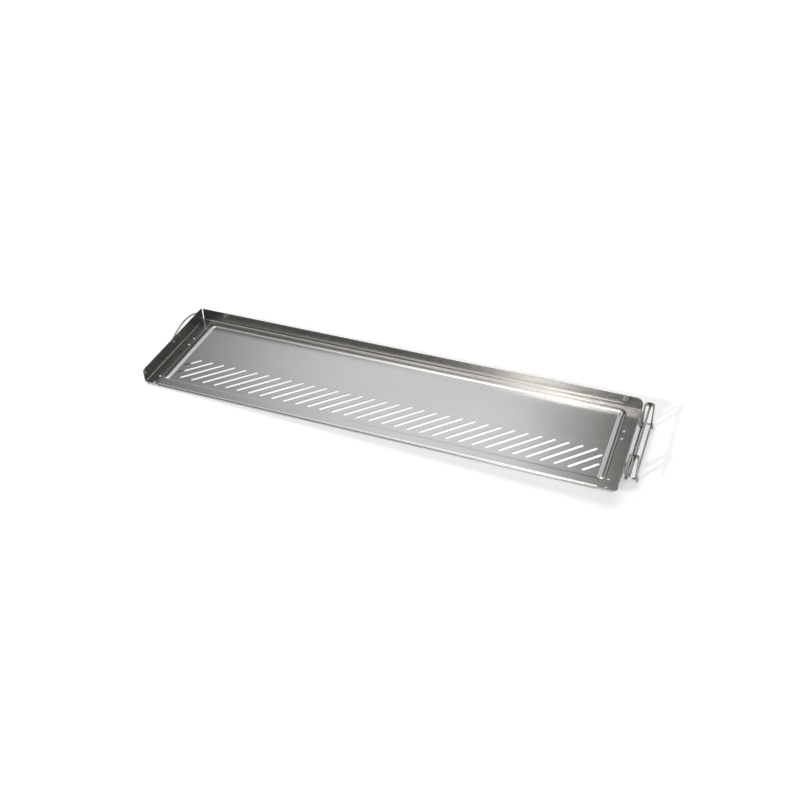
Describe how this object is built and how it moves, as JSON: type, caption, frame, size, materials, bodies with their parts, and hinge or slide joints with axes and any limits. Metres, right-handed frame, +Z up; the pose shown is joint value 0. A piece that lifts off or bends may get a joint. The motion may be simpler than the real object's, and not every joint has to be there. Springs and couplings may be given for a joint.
{
  "type": "baguette tray",
  "caption": "Long stainless tray with back and left walls, ribbed floor with diagonal slots, a wire bail on the closed end and a pivoting hook hanger on the open end.",
  "frame": {"origin": "middle of the footprint of the whole object, at the height of the lowest points, the ears that carry the pivot rod", "axes": "+X along the tray from the walled end to the open end with the hanger, +Y from the open front to the back wall, +Z up, normal to the floor sheet"},
  "size_m": [0.6526, 0.1572, 0.0458],
  "materials": {
    "sheet": "fine satin stainless sheet",
    "plate": "satin stainless plate",
    "strip": "satin stainless strip",
    "wire": "smooth drawn stainless wire",
    "rivet": "smooth stainless"
  },
  "bodies": {
    "tray": {"tray_pan": "sheet", "left_plate": "plate", "right_bracket": "plate", "left_rivets": "rivet", "right_rivets": "rivet", "pivot_rod": "wire", "pivot_caps": "rivet", "handle_clip_front": "strip", "handle_clip_back": "strip"},
    "hanger": {"hook_front": "strip", "hook_back": "strip", "crown_rod": "wire", "brace_wire": "wire"},
    "bail": {"handle_bail": "wire"}
  },
  "joints": [
    {"name": "hanger_hinge", "type": "hinge", "parent": "tray", "child": "hanger", "pos_m": [0.31178, 0.02091, 0.0026], "axis": [0, 1, 0], "range_deg": [0, 178]},
    {"name": "bail_hinge", "type": "hinge", "parent": "tray", "child": "bail", "pos_m": [-0.32411, 0.03491, 0.0272], "axis": [0, -1, 0], "range_deg": [0, 180]}
  ]
}
